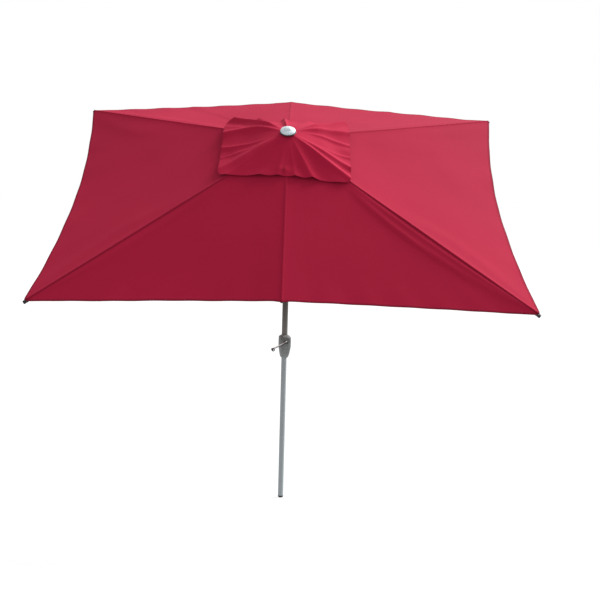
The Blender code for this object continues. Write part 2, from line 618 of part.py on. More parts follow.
def build_hub():
    top, bottom, wall, bore = 0.026, -0.032, 0.0275, POLE_RADIUS + GAP
    pole_end = 0.0105
    profile = [(0.0240, top), (wall, top - 0.004), (wall, bottom + 0.002), (wall - 0.002, bottom)]
    profile += [(bore, bottom), (bore, pole_end), (0.0066, pole_end), (0.0066, top)]
    hub = eared_ring("hub_form", profile, -0.0110, 0.0120, wall)
    ring_hole = turned("cut_ring_channel", ring_profile(0.0021), None, closed=True)
    cut(hub, ring_hole)
    made = as_object("top_hub", finished_mesh(hub), HUB_PLASTIC)
    smooth(place(made, TOP, (0, 0, HINGE_HEIGHT)))
    count = 24
    points = []
    for i in range(count):
        around = 2 * math.pi * i / count
        points.append((HINGE_RADIUS * math.cos(around), HINGE_RADIUS * math.sin(around), 0))
    place(wire("hub_ring", points, 0.0014, STEEL, cyclic=True), TOP, (0, 0, HINGE_HEIGHT))

    base = APEX_REACH + FINIAL_LIFT
    profile = [(0, 0.0275), (0.010, 0.0270), (0.019, 0.0235), (0.0215, 0.0190), (0.0235, 0.0172)]
    profile += [(0.0330, 0.0150), (0.0410, 0.0105), (0.0440, 0.0060), (0.0435, 0.0020), (0.0410, 0.0)]
    stem = HINGE_HEIGHT + 0.0045 - base
    profile += [(0.0062, 0.0), (0.0060, stem), (0, stem)]
    smooth(place(turned("finial", profile, FINIAL_WHITE), TOP, (0, 0, base)), 50)
    profile = [(0.0455, -GAP), (0.0470, -0.0010), (0.0470, -0.0022), (0.0455, -0.0032)]
    profile += [(0.0070, -0.0032), (0.0070, -GAP)]
    washer = turned("finial_washer", profile, BLACK_PLASTIC, closed=True)
    smooth(place(washer, TOP, (0, 0, base)), 50)


def ring_profile(radius, count=6):
    """The section of a ring about the hinges: a circle of points, down its outer side first."""
    points = []
    for i in range(count):
        around = math.pi / 2 - 2 * math.pi * i / count
        points.append((HINGE_RADIUS + radius * math.cos(around), radius * math.sin(around)))
    return points


def build_runner():
    bore = POLE_RADIUS + 0.0006
    profile = [(0.0235, RUNNER_RISE), (0.0255, RUNNER_RISE - 0.002), (0.0255, -0.016), (0.0290, -0.020)]
    profile += [(0.0290, -0.026), (0.0265, -RUNNER_FALL), (bore, -RUNNER_FALL), (bore, RUNNER_RISE)]
    runner = eared_ring("runner_form", profile, -0.0130, 0.0110, 0.0255, boss_radius=0.0045)
    made = as_object("runner", finished_mesh(runner), HUB_PLASTIC)
    smooth(place(made, TOP, (0, 0, HINGE_HEIGHT - RUNNER_OPEN)))


# ---- ribs and struts ----
def rounded_bar(name, low, high, width, mat=None):
    return round_edges(box(name, low, high, mat), width)


def rib_mesh(link):
    """A rectangular tube with rounded edges and a flat tongue that turns on the hub's ring."""
    start, end = 0.022, link.length - 0.004
    w, h = RIB_WIDTH / 2, RIB_HEIGHT / 2
    rib = rounded_bar("rib_form", (start, -w, -h), (end, w, h), 0.0035)
    inner_w, inner_h = w - RIB_WALL, h - RIB_WALL
    hollow = box("rib_hollow", (start + 0.028, -inner_w, -inner_h), (end + 0.1, inner_w, inner_h))
    tongue = box("rib_tongue", (0, -TONGUE / 2, -0.0068), (start + 0.010, TONGUE / 2, 0.0068))
    nose = rod("rib_nose", 0.0070, (0, -TONGUE / 2, 0), (0, TONGUE / 2, 0), None, 12)
    hole = rod("rib_hole", 0.0023, (0, -0.01, 0), (0, 0.01, 0), None, 8)
    join(rib, tongue, nose)
    cut(rib, hollow, hole)
    return finished_mesh(rib)


def tip_mesh():
    """The end cap of a rib: a plug in the tube and a rounded nose that holds the canopy's pocket."""
    w, h = RIB_WIDTH / 2 + 0.0008, RIB_HEIGHT / 2 + 0.0008
    cap = rounded_bar("tip_form", (0, -w, -h), (0.014, w, h), 0.0040)
    inside = RIB_WALL + GAP
    plug_w, plug_h = RIB_WIDTH / 2 - inside, RIB_HEIGHT / 2 - inside
    plug = box("tip_plug", (-0.022, -plug_w, -plug_h), (0.002, plug_w, plug_h))
    join(cap, plug)
    return finished_mesh(cap)


def bracket_mesh():
    """A sleeve round the rib with two cheeks below it and the strut's pin between them. Origin on the pin."""
    up = BRACKET_PIN_DROP
    w, h = RIB_WIDTH / 2 + GAP, RIB_HEIGHT / 2 + GAP
    wall, length, cheek = 0.0024, 0.015, EAR_GAP / 2 + EAR
    sleeve = rounded_bar(
        "bracket_form",
        (-length, -w - wall, up - h - wall),
        (length, w + wall, up + h + wall - 0.0006),
        0.002,
    )
    cheeks = box("bracket_cheeks", (-0.0088, -cheek, 0), (0.0088, cheek, up - h - wall + 0.001))
    nose = rod("bracket_nose", 0.0088, (0, -cheek, 0), (0, cheek, 0), None, 12)
    opening = box("bracket_opening", (-0.03, -w, up - h), (0.03, w, up + h))
    slot = box("bracket_slot", (-0.03, -EAR_GAP / 2, -0.02), (0.03, EAR_GAP / 2, up - h - wall - 0.0002))
    pin = rod("bracket_pin", 0.0024, (0, -cheek - 0.0014, 0), (0, cheek + 0.0014, 0), None, 10)
    join(sleeve, cheeks, nose)
    cut(sleeve, opening, slot)
    join(sleeve, pin)
    return finished_mesh(sleeve)


def strut_mesh(link):
    """A flat bar between two rounded tongues. The bracket's pin passes through the outer one, and the inner
    one is long enough to slide between the runner's ears as the canopy folds."""
    w, h = STRUT_WIDTH / 2, STRUT_HEIGHT / 2
    bar = rounded_bar("strut_form", (OUTER_TONGUE, -w, -h), (link.strut - INNER_TONGUE, w, h), 0.0025)
    tongue = box("strut_tongue", (0, -TONGUE / 2, -0.0058), (link.strut, TONGUE / 2, 0.0058))
    outer = rod("strut_outer", 0.0064, (0, -TONGUE / 2, 0), (0, TONGUE / 2, 0), None, 12)
    inner_at = link.strut
    inner = rod("strut_inner", 0.0064, (inner_at, -TONGUE / 2, 0), (inner_at, TONGUE / 2, 0), None, 12)
    hole = rod("strut_hole", 0.0026, (0, -0.01, 0), (0, 0.01, 0), None, 12)
    join(bar, tongue, outer, inner)
    cut(bar, hole)
    return finished_mesh(bar)


def build_ribs():
    ribs = {kind: rib_mesh(link) for kind, link in LINKAGES.items()}
    struts = {kind: strut_mesh(link) for kind, link in LINKAGES.items()}
    tip, bracket = tip_mesh(), bracket_mesh()
    for name, (kind, _) in RIBS.items():
        link, rib = LINKAGES[kind], rib_frame(name)
        pin = (link.bracket, 0, -BRACKET_PIN_DROP)
        strut = strut_frame(name, rib)
        pieces = [
            place(as_object(f"rib_{name}", ribs[kind], RIB_ALUMINIUM), rib),
            place(as_object(f"rib_tip_{name}", tip, BLACK_PLASTIC), rib, (link.length - 0.004 + GAP, 0, 0)),
            place(as_object(f"bracket_{name}", bracket, BLACK_PLASTIC), rib, pin),
            place(as_object(f"strut_{name}", struts[kind], RIB_ALUMINIUM), strut),
        ]
        for piece in pieces:
            smooth(piece)


# ---- canopy and vent cap ----
def rib_tip(name):
    """The canopy's tip at a rib, in the top's frame."""
    kind, azimuth = RIBS[name]
    reach = MIDDLE_REACH if kind == "middle" else math.hypot(CANOPY_WIDTH, CANOPY_DEPTH) / 2
    drop = MIDDLE_DROP if kind == "middle" else CORNER_DROP
    angle = math.radians(azimuth)
    return Vector((reach * math.cos(angle), reach * math.sin(angle), APEX_REACH - drop))


def hem_middle(first, second):
    """The middle of the hem between two ribs. The hem of a short side curves in along its panel."""
    a, b = rib_tip(first), rib_tip(second)
    middle = (a + b) / 2
    if abs(middle.y) < 0.01:
        peak = Vector((0, 0, APEX_REACH))
        middle += (peak - middle).normalized() * SIDE_HEM_CURVE
    return middle


def cloth_sheet(name, outline_rows):
    """A thin sheet through rows of points, thickened upwards."""
    bm = bmesh.new()
    rows = [[bm.verts.new(point) for point in row] for row in outline_rows]
    for near, far in zip(rows, rows[1:]):
        for i in range(len(near) - 1):
            bm.faces.new((near[i], far[i], far[i + 1], near[i + 1]))
    mesh = bpy.data.meshes.new(name)
    bm.to_mesh(mesh)
    bm.free()
    sheet = place(as_object(name, mesh, CANOPY_RED), TOP)
    thick = sheet.modifiers.new("cloth", "SOLIDIFY")
    thick.thickness = CLOTH
    thick.offset = 1.0
    return sheet


def build_canopy():
    """One piece of cloth for each rib, from the middle of one panel to the middle of the next."""
    peak = Vector((0, 0, APEX_REACH))
    inner_radius, seam_gap = 0.034, 0.0006
    names = list(RIBS)
    for i, name in enumerate(names):
        before, after = names[i - 1], names[(i + 1) % len(names)]
        edge = [hem_middle(before, name), rib_tip(name), hem_middle(name, after)]
        along_hem = (edge[2] - edge[0]).normalized()
        rows = []
        for share in (0.0, 0.5, 1.0):
            row = []
            for point, side in zip(edge, (1, 0, -1)):
                out = Vector((point.x, point.y, 0)).length
                near = peak + (point - peak) * (inner_radius / out)
                row.append(near.lerp(point, share) + along_hem * side * seam_gap)
            rows.append(row)
        cloth_sheet(f"canopy_{name}", rows)


def build_vent_cap():
    """A loose second roof over the peak, which lets the wind out under its hem."""
    outline = []
    for i in range(4):
        start = 0.5 * math.pi * i
        for share in (0.0, 0.36, 0.5, 0.64):
            angle = start + 0.5 * math.pi * share
            c, s = math.cos(angle), math.sin(angle)
            size = max(abs(c), abs(s))
            x, y = CAP_HALF_WIDTH * c / size, CAP_HALF_DEPTH * s / size
            cornerness = abs(x * y) / (CAP_HALF_WIDTH * CAP_HALF_DEPTH)
            pull = 1 - 0.06 * (cornerness > 0.99)
            fall = CAP_MIDDLE_FALL + (CAP_CORNER_FALL - CAP_MIDDLE_FALL) * cornerness
            if abs(y) < 0.001:
                fall = CAP_CORNER_FALL * 0.86
            outline.append(Vector((x * pull, y * pull, APEX_REACH + CAP_LIFT - fall)))
    outline.append(outline[0].copy())
    peak = Vector((0, 0, APEX_REACH + CAP_LIFT))
    inner_radius = 0.030
    rows = []
    for share in (0.0, 0.5, 1.0):
        row = []
        for point in outline:
            out = Vector((point.x, point.y, 0)).length
            near = peak + (point - peak) * (inner_radius / out)
            row.append(near.lerp(point, share))
        rows.append(row)
    cap = cloth_sheet("vent_cap", rows)
    weld = cap.modifiers.new("close the ring", "WELD")
    weld.merge_threshold = 0.00005
    cap.modifiers.move(1, 0)


build_pole()
build_tilt_joint()
build_housing()
build_crank()
build_cords()
build_hub()
build_runner()
build_ribs()
build_canopy()
build_vent_cap()
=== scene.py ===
"""Looks of a rectangular tilting patio umbrella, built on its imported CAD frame: the cloth canopy and its
vent cap, the lift cord, and a material for every piece. Metres, +Z up, in the CAD's frame. The canopy is open
and leans to -Y."""

import json
import math

import bpy
import numpy as np
from mathutils import Matrix, Vector


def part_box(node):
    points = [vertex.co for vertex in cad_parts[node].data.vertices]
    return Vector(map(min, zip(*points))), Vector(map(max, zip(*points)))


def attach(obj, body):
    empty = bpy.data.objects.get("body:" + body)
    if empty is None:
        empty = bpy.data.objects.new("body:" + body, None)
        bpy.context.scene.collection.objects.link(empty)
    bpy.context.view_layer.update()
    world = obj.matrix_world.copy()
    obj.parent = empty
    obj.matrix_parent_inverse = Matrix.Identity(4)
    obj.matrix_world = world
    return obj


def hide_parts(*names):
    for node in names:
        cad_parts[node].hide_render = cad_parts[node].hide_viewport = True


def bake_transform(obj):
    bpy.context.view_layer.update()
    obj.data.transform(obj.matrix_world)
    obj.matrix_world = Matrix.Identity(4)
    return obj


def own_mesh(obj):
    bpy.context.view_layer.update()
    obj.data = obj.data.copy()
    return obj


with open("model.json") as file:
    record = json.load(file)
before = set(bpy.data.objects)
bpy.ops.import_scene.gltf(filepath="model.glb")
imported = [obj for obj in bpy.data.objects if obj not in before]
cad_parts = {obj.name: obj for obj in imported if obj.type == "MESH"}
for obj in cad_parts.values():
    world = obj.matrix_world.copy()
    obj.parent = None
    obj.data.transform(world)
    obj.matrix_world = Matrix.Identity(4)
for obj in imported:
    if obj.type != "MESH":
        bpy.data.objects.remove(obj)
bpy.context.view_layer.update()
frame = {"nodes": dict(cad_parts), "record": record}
NODES = frame["nodes"]

# ---- dimensions, as in the CAD ----
TILT = math.radians(38.3)
HINGE_HEIGHT = 1.58
# The tilting top's own frame: its origin is the tilt joint, and its Z runs up the tilting pole.
TOP = Matrix.Translation((0, 0, HINGE_HEIGHT)) @ Matrix.Rotation(TILT, 4, "X")
PEAK = np.array((0.0, 0.0, 0.94))
HALF_WIDTH, HALF_DEPTH = 1.375, 0.96
MIDDLE_REACH, MIDDLE_DROP, CORNER_DROP = 0.993, 0.352, 0.436
CORNER_AZIMUTH = math.degrees(math.atan2(HALF_DEPTH, HALF_WIDTH))
# The ribs, in order around the pole, with the direction each points in.
RIBS = [
    ("back_right", CORNER_AZIMUTH),
    ("back_middle", 90.0),
    ("back_left", 180.0 - CORNER_AZIMUTH),
    ("front_left", 180.0 + CORNER_AZIMUTH),
    ("front_middle", 270.0),
    ("front_right", 360.0 - CORNER_AZIMUTH),
]
CLOTH = 0.0012  # thickness drawn for the cloth


def to_world(points):
    """Points of the tilting top, as an array, in the row frame."""
    matrix = np.array(TOP)
    return points @ matrix[:3, :3].T + matrix[:3, 3]


def smoothstep(low, high, x):
    t = np.clip((x - low) / (high - low), 0, 1)
    return t * t * (3 - 2 * t)


# ---- materials ----
class Nodes:
    """A material's node tree with short ways to add and link nodes."""

    def __init__(self, name):
        self.material = bpy.data.materials.new(name)
        self.material.use_nodes = True
        self.tree = self.material.node_tree
        self.shader = self.tree.nodes["Principled BSDF"]

    def add(self, kind, **settings):
        node = self.tree.nodes.new(kind)
        for key, value in settings.items():
            setattr(node, key, value)
        return node

    def link(self, source, target):
        self.tree.links.new(source, target)
        return source

    def math(self, operation, first, second=None):
        node = self.add("ShaderNodeMath", operation=operation)
        for slot, value in zip(node.inputs, (first, second)):
            if value is None:
                continue
            if isinstance(value, (int, float)):
                slot.default_value = value
            else:
                self.link(value, slot)
        return node.outputs[0]

    def position(self, scale=(1, 1, 1)):
        """Object coordinates, stretched."""
        place = self.add("ShaderNodeTexCoord")
        mapping = self.add("ShaderNodeMapping")
        mapping.inputs["Scale"].default_value = scale
        self.link(place.outputs["Object"], mapping.inputs["Vector"])
        return mapping.outputs["Vector"]

    def noise(self, scale, detail=3.0, roughness=0.5, stretch=(1, 1, 1)):
        node = self.add("ShaderNodeTexNoise")
        node.inputs["Scale"].default_value = scale
        node.inputs["Detail"].default_value = detail
        node.inputs["Roughness"].default_value = roughness
        self.link(self.position(stretch), node.inputs["Vector"])
        return node.outputs["Fac"]

    def along(self, direction, start, end):
        """How far a point is from start to end, 0 to 1, measured along a direction in the row frame."""
        place = self.add("ShaderNodeTexCoord")
        dot = self.add("ShaderNodeVectorMath", operation="DOT_PRODUCT")
        self.link(place.outputs["Object"], dot.inputs[0])
        dot.inputs[1].default_value = direction
        span = self.add("ShaderNodeMapRange")
        span.inputs["From Min"].default_value, span.inputs["From Max"].default_value = start, end
        self.link(dot.outputs["Value"], span.inputs["Value"])
        return span.outputs["Result"]

    def ramp(self, factor, stops):
        """A colour ramp through (position, colour) stops."""
        node = self.add("ShaderNodeValToRGB")
        elements = node.color_ramp.elements
        while len(elements) < len(stops):
            elements.new(0.5)
        for element, (at, color) in zip(elements, stops):
            element.position = at
            element.color = (*color, 1.0)
        self.link(factor, node.inputs["Fac"])
        return node.outputs["Color"]

    def paint_shade_with_height(self, color, height_shade):
        """A colour times a factor that changes with height, as painted shade. The last argument holds two
        heights and their factors.
        """
        if height_shade is None:
            return color
        low, high, at_low, at_high = height_shade
        factor = self.ramp(self.along((0, 0, 1), low, high), [(0.0, (at_low,) * 3), (1.0, (at_high,) * 3)])
        return self.mix(1.0, color, factor, "MULTIPLY")

    def mix(self, factor, first, second, blend="MIX"):
        node = self.add("ShaderNodeMix", data_type="RGBA", blend_type=blend)
        for slot, value in (("Factor_Float", factor), ("A_Color", first), ("B_Color", second)):
            socket = next(s for s in node.inputs if s.identifier == slot)
            if isinstance(value, (int, float)):
                socket.default_value = value
            elif isinstance(value, tuple):
                socket.default_value = (*value, 1.0)
            else:
                self.link(value, socket)
        return next(s for s in node.outputs if s.identifier == "Result_Color")

    def bump(self, height, distance, strength=1.0, after=None):
        node = self.add("ShaderNodeBump")
        node.inputs["Distance"].default_value = distance
        node.inputs["Strength"].default_value = strength
        self.link(height, node.inputs["Height"])
        if after is not None:
            self.link(after, node.inputs["Normal"])
        return node.outputs["Normal"]

    def set(self, **values):
        """Plain values on the shader's own sockets: underscores stand for spaces."""
        for key, value in values.items():
            self.shader.inputs[key.replace("_", " ")].default_value = value
        return self


def shade(color, factor):
    return tuple(c * factor for c in color)


ORANGE_PEEL = 900.0  # grain of a powder coat, per metre


def powder_coat(name, color, metallic, roughness, specular=0.5, height_shade=None):
    """Powder coat on metal: fine orange peel, slight tone changes and scuffs along the tube."""
    n = Nodes(name)
    tone = n.noise(9.0, 4.0, 0.6, (1, 1, 0.35))
    scuff = n.noise(60.0, 5.0, 0.65, (1, 1, 0.08))
    base = n.ramp(tone, [(0.25, shade(color, 0.9)), (0.75, shade(color, 1.08))])
    # Painted shade: the colour darkens or lightens with height when a factor by height is given.
    base = n.paint_shade_with_height(base, height_shade)
    worn = n.ramp(scuff, [(0.60, (0, 0, 0)), (0.78, (1, 1, 1))])
    n.link(n.mix(n.math("MULTIPLY", worn, 0.25), base, shade(color, 1.35)), n.shader.inputs["Base Color"])
    peel = n.noise(ORANGE_PEEL, 2.0, 0.5)
    n.link(n.bump(peel, 0.00008, 0.6), n.shader.inputs["Normal"])
    rough = n.ramp(scuff, [(0.3, (roughness,) * 3), (0.75, (roughness + 0.14,) * 3)])
    n.link(rough, n.shader.inputs["Roughness"])
    return n.set(Metallic=metallic, Specular_IOR_Level=specular).material


def moulded_plastic(
    name, color, roughness, grain=1400.0, depth=0.00012, specular=0.5, height_shade=None, clouds=28.0, cloudy=0.15
):
    """Injection-moulded plastic with a spark-eroded grain and a little dust in it. clouds is the scale of its
    tone changes, and cloudy how strong they are."""
    n = Nodes(name)
    cloud = n.noise(clouds, 4.0, 0.6)
    base = n.ramp(cloud, [(0.3, shade(color, 1 - cloudy)), (0.7, shade(color, 1 + cloudy))])
    # Painted shade: the colour darkens or lightens with height when a factor by height is given.
    base = n.paint_shade_with_height(base, height_shade)
    fleck = n.noise(grain * 0.6, 2.0, 0.6)
    n.link(n.mix(n.math("MULTIPLY", fleck, 0.12), base, shade(color, 1.9)), n.shader.inputs["Base Color"])
    n.link(n.bump(n.noise(grain, 3.0, 0.6), depth, 0.7), n.shader.inputs["Normal"])
    rough = n.ramp(cloud, [(0.2, (roughness - 0.05,) * 3), (0.8, (roughness + 0.08,) * 3)])
    n.link(rough, n.shader.inputs["Roughness"])
    return n.set(Specular_IOR_Level=specular).material


def plated_metal(name, color, roughness, streak=(1, 1, 1)):
    """Chrome or zinc plate: bright, with faint polishing lines and fingerprints."""
    n = Nodes(name)
    lines = n.noise(260.0, 3.0, 0.6, streak)
    smudge = n.noise(40.0, 3.0, 0.6)
    n.link(n.ramp(smudge, [(0.35, shade(color, 0.92)), (0.7, color)]), n.shader.inputs["Base Color"])
    rough = n.ramp(smudge, [(0.3, (roughness,) * 3), (0.8, (roughness + 0.10,) * 3)])
    n.link(rough, n.shader.inputs["Roughness"])
    n.link(n.bump(lines, 0.00003, 0.4), n.shader.inputs["Normal"])
    return n.set(Metallic=1.0).material


ARM_HALF_WIDTH = 0.0055
BOSS_START, BOSS_END = 0.006, 0.018  # distances from the hub over which the dark boss gives way to the bar


def pressed_arm(name, hub, end):
    """Polished steel bar: a painted highlight on its upper lip, painted shade and a dark reflection on its
    lower half, and a dark boss at the hub.
    """
    n = Nodes(name)
    out = (end - hub).normalized()
    up = Vector((-out.z, 0, out.x)) * (1 if out.x > 0 else -1)
    middle = hub.dot(up)
    across = n.along(up, middle - ARM_HALF_WIDTH, middle + ARM_HALF_WIDTH)
    streak = n.noise(300.0, 3.0, 0.6, (1, 12, 12))
    across = n.math("ADD", across, n.math("MULTIPLY", n.math("SUBTRACT", streak, 0.5), 0.3))
    # Painted light across the bar: shade and a dark reflection on its lower half, a highlight on its upper lip.
    painted_shade_below = [(0.10, (0.022,) * 3), (0.30, (0.055,) * 3)]
    bright = [(0.44, (0.40, 0.40, 0.39)), (0.75, (0.85, 0.85, 0.83))]
    lip = n.ramp(across, painted_shade_below + bright)
    from_hub = n.along(out, hub.dot(out) + BOSS_START, hub.dot(out) + BOSS_END)
    n.link(n.mix(from_hub, (0.045, 0.047, 0.047), lip), n.shader.inputs["Base Color"])
    n.link(n.bump(streak, 0.00003, 0.4), n.shader.inputs["Normal"])
    return n.set(Metallic=0.3, Roughness=0.38, Specular_IOR_Level=0.25).material


def cast_metal(name, color, roughness):
    """Die-cast metal with a fine, slightly uneven skin."""
    n = Nodes(name)
    skin = n.noise(420.0, 4.0, 0.65)
    tone = n.ramp(skin, [(0.3, shade(color, 0.8)), (0.7, shade(color, 1.15))])
    n.link(tone, n.shader.inputs["Base Color"])
    n.link(n.bump(skin, 0.0002, 0.6), n.shader.inputs["Normal"])
    return n.set(Metallic=0.85, Roughness=roughness).material


def braided_cord(name, color):
    """Braid lines across a thin cord, from two crossing waves."""
    n = Nodes(name)
    waves = []
    for turn in (0.7, -0.7):
        wave = n.add("ShaderNodeTexWave", bands_direction="DIAGONAL")
        wave.inputs["Scale"].default_value = 420.0
        wave.inputs["Distortion"].default_value = 0.4
        n.link(n.position((1, 1, turn)), wave.inputs["Vector"])
        waves.append(wave.outputs["Fac"])
    braid = n.math("MULTIPLY", waves[0], waves[1])
    n.link(n.ramp(braid, [(0.0, shade(color, 0.7)), (0.6, color)]), n.shader.inputs["Base Color"])
    n.link(n.bump(braid, 0.0003, 0.8), n.shader.inputs["Normal"])
    return n.set(Roughness=0.85).material


RED = (0.222, 0.0063, 0.0240)
THREADS, SLUBS = 900.0, 40.0  # noise scales across the threads and along them
# Stitches in a metre, how much of each is thread and not gap, and half a row's width.
STITCHES, STITCH_SHARE, STITCH_HALF_WIDTH = 280.0, 0.68, 0.0006


def canopy_cloth(name, painted_light_factor=1.0):
    """Woven polyester: threads, slubs and soft tone changes, stitched lines beside seams and hems. The meshes
    carry the distance from a row of stitches, the distance along it, and how dark the painted shade of a fold
    or of the hem's edge is there."""
    n = Nodes(name)
    # The red times a factor: above 1 it is a lighter copy of the cloth, which is painted light.
    color = shade(RED, painted_light_factor)
    cloud = n.noise(1.7, 3.0, 0.55)
    blotch = n.noise(14.0, 4.0, 0.6)
    tone = n.ramp(cloud, [(0.3, shade(color, 0.94)), (0.7, shade(color, 1.05))])
    tone = n.mix(n.math("MULTIPLY", blotch, 0.18), tone, shade(color, 0.82))
    slub_across = n.noise(1.0, 2.0, 0.5, (THREADS, SLUBS, SLUBS))
    slub_along = n.noise(1.0, 2.0, 0.5, (SLUBS, THREADS, THREADS))
    threads = n.math("ADD", slub_across, slub_along)
    tone = n.mix(n.ramp(threads, [(0.7, (0, 0, 0)), (1.3, (0.22,) * 3)]), tone, shade(color, 1.35))
    edge = n.add("ShaderNodeAttribute", attribute_name="stitch_row").outputs["Fac"]
    along = n.add("ShaderNodeAttribute", attribute_name="stitch_along").outputs["Fac"]
    near_row = n.math("LESS_THAN", n.math("ABSOLUTE", edge), STITCH_HALF_WIDTH)
    in_stitch = n.math("LESS_THAN", n.math("FRACT", n.math("MULTIPLY", along, STITCHES)), STITCH_SHARE)
    stitch = n.math("MULTIPLY", near_row, in_stitch)
    tone = n.mix(n.math("MULTIPLY", stitch, 0.75), tone, shade(color, 0.55))
    # Painted shade from the hem_shade attribute: along hems, beside seams and on the cap's tuck.
    hem = n.add("ShaderNodeAttribute", attribute_name="hem_shade").outputs["Fac"]
    tone = n.mix(hem, tone, shade(color, 0.35))
    n.link(tone, n.shader.inputs["Base Color"])
    woven = n.bump(n.math("MULTIPLY", threads, 0.5), 0.00035, 0.35)
    n.link(n.bump(stitch, 0.0006, 0.6, woven), n.shader.inputs["Normal"])
    n.set(Roughness=0.86, Sheen_Weight=0.011, Sheen_Roughness=0.5)
    n.set(Sheen_Tint=(0.90, 0.50, 0.95, 1.0), Specular_IOR_Level=0.05)
    return n.material


MATERIALS = {
    "pole_aluminium": powder_coat("pole_powder_coat", (0.252, 0.284, 0.296), 0.0, 0.52, specular=0.18),
    "rib_aluminium": powder_coat("rib_powder_coat", (0.030, 0.031, 0.033), 0.35, 0.45),
    "cast_knuckle": cast_metal("cast_knuckle_metal", (0.10, 0.10, 0.105), 0.45),
    # The housing's factor by height is painted shade: lighter at its foot, darker towards its top under the
    # canopy.
    "housing_plastic": moulded_plastic(
        "winch_housing_plastic", (0.123, 0.133, 0.131), 0.50, specular=0.2,
        height_shade=(0.955, 1.085, 1.35, 0.88), clouds=90.0, cloudy=0.32,
    ),
    "black_plastic": moulded_plastic("black_moulded_plastic", (0.012, 0.012, 0.014), 0.42, specular=0.25),
    "hub_plastic": moulded_plastic("hub_moulded_plastic", (0.022, 0.022, 0.025), 0.5),
    "chrome": plated_metal("chrome_plate", (0.82, 0.83, 0.85), 0.07, (1, 12, 12)),
    "zinc_steel": plated_metal("zinc_plate", (0.60, 0.60, 0.62), 0.28),
    "finial_white": moulded_plastic("finial_satin_plastic", (0.36, 0.42, 0.44), 0.30, 500.0, 0.00005),
    "cord_nylon": braided_cord("braided_lift_cord", (0.46, 0.44, 0.40)),
    "canopy_red": canopy_cloth("canopy_polyester"),
}


def middle_of(node):
    """The middle of a CAD node's box, at rest."""
    low, high = (Vector(corner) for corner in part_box(node))
    return (low + high) / 2


# Darker copies of the pole's powder coat: painted shade of the canopy on the tubes under it, with the fixed
# tube darkening further towards the top.
UPPER_TUBE_PAINTED_SHADE = powder_coat(
    "upper_tube_coat_painted_shade", (0.128, 0.128, 0.118), 0.0, 0.52, specular=0.15, height_shade=(1.10, 1.34, 1.12, 0.46)
)
TILTING_TUBE_PAINTED_SHADE = powder_coat("tilting_tube_coat_painted_shade", (0.090, 0.090, 0.083), 0.0, 0.52, specular=0.15)
# Nodes that look different from the rest of their material slot; the two upper tubes carry painted shade, and
# the crank's arm a painted highlight and shade.
OWN_MATERIALS = {
    "middle_pole": UPPER_TUBE_PAINTED_SHADE,
    "upper_pole": TILTING_TUBE_PAINTED_SHADE,
    "crank_arm": pressed_arm("pressed_steel_arm", middle_of("crank_shaft"), middle_of("crank_knob")),
    "crank_shaft": plated_metal("crank_shaft_zinc", (0.12, 0.12, 0.125), 0.4),
}
SHARP_FROM = math.radians(32)
for part in frame["record"]["subparts"]:
    node = NODES[part["node"]]
    node.data.materials.clear()
    node.data.materials.append(OWN_MATERIALS.get(part["node"], MATERIALS[part["material_slot"]]))
    node.data.shade_smooth()
    node.data.set_sharp_from_angle(angle=SHARP_FROM)


# ---- meshes from grids of points ----
def put_in_scene(name, data):
    made = bpy.data.objects.new(name, data)
    bpy.context.scene.collection.objects.link(made)
    return made


def grid_normals(points):
    """Unit normals of a grid of points, pointing up from the cloth."""
    down = np.gradient(points, axis=0)
    across = np.gradient(points, axis=1)
    normals = np.cross(down, across)
    normals /= np.linalg.norm(normals, axis=2, keepdims=True) + 1e-12
    return normals


def sheet_mesh(name, upper, lower, normals, attributes, material):
    """A thin closed sheet between two grids of points in the row frame, shaded with the normals given."""
    rows, columns = upper.shape[:2]
    count = rows * columns
    index = np.arange(count).reshape(rows, columns)
    a, b = index[:-1, :-1].ravel(), index[1:, :-1].ravel()
    c, d = index[1:, 1:].ravel(), index[:-1, 1:].ravel()
    top_faces = np.stack([a, b, c, d], 1)
    low_faces = np.stack([d, c, b, a], 1) + count
    rim = np.concatenate([index[0, ::-1], index[1:, 0], index[-1, 1:], index[-2:0:-1, -1]])
    following = np.roll(rim, -1)
    rim_faces = np.stack([following, rim, rim + count, following + count], 1)
    faces = np.concatenate([top_faces, low_faces, rim_faces])
    vertices = np.concatenate([upper.reshape(-1, 3), lower.reshape(-1, 3)])
    mesh = bpy.data.meshes.new(name)
    mesh.from_pydata(vertices.tolist(), [], faces.tolist())
    mesh.polygons.foreach_set("use_smooth", [True] * len(faces))
    flat = normals.reshape(-1, 3)
    corner_normals = np.zeros((len(faces), 4, 3))
    corner_normals[: len(top_faces)] = flat[top_faces]
    corner_normals[len(top_faces): 2 * len(top_faces)] = -flat[low_faces - count]
    corners = vertices[rim_faces]
    outward = np.cross(corners[:, 1] - corners[:, 0], corners[:, 3] - corners[:, 0])
    outward /= np.linalg.norm(outward, axis=1, keepdims=True) + 1e-12
    corner_normals[2 * len(top_faces):] = outward[:, None, :]
    for key, values in attributes.items():
        layer = mesh.attributes.new(key, "FLOAT", "POINT")
        layer.data.foreach_set("value", np.tile(values.ravel(), 2).astype(np.float32))
    mesh.normals_split_custom_set(corner_normals.reshape(-1, 3).tolist())
    mesh.materials.append(material)
    return put_in_scene(name, mesh)


def upward(normals):
    """The normals, turned over if they point down."""
    return -normals if normals[..., 2].mean() < 0 else normals


# ---- canopy ----
def rib_frame(azimuth):
    """The level directions along and across a rib, in the tilting top."""
    angle = math.radians(azimuth)
    return np.array((math.cos(angle), math.sin(angle), 0)), np.array((-math.sin(angle), math.cos(angle), 0))


def rib_tip(name, azimuth):
    """Where a rib's cloth ends, in the tilting top."""
    middle = name.endswith("middle")
    reach = MIDDLE_REACH if middle else math.hypot(HALF_WIDTH, HALF_DEPTH)
    drop = MIDDLE_DROP if middle else CORNER_DROP
    angle = math.radians(azimuth)
    return PEAK + np.array((reach * math.cos(angle), reach * math.sin(angle), -drop))


